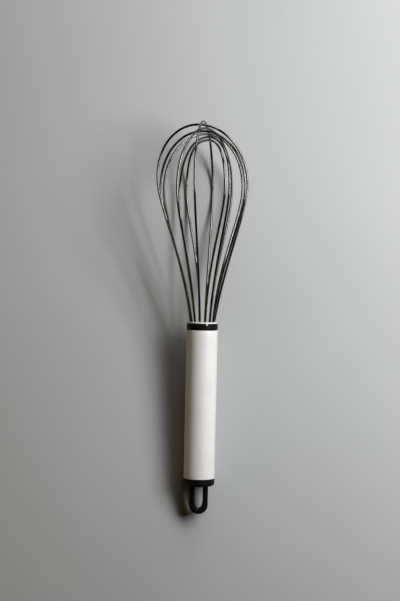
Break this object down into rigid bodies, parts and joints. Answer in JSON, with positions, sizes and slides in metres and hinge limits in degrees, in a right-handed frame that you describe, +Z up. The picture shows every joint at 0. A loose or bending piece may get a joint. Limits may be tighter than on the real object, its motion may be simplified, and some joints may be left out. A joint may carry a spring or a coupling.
{
  "type": "balloon whisk",
  "caption": "Hand whisk with a rounded balloon of nested steel wire loops, a round plastic handle with a collar and end cap, and a moulded hanging eye.",
  "frame": {"origin": "centre of the bounding box on the surface that the whisk lies on", "axes": "+Y from the hanging eye towards the balloon's tip, as the whisk lies on its side; +Z up from the surface; +X to the right"},
  "size_m": [0.0586, 0.251, 0.0581],
  "materials": {
    "white_plastic": "satin moulded white",
    "black_plastic": "satin moulded black",
    "stainless_steel": "polished drawn stainless wire"
  },
  "bodies": {
    "root": {"handle_tube": "white_plastic", "front_plate": "white_plastic", "wire_core": "white_plastic", "front_collar": "black_plastic", "end_cap": "black_plastic", "clamp_band": "stainless_steel", "wire_1": "stainless_steel", "wire_2": "stainless_steel", "wire_3": "stainless_steel", "wire_4": "stainless_steel", "wire_5": "stainless_steel", "wire_6": "stainless_steel", "wire_7": "stainless_steel"}
  },
  "joints": []
}
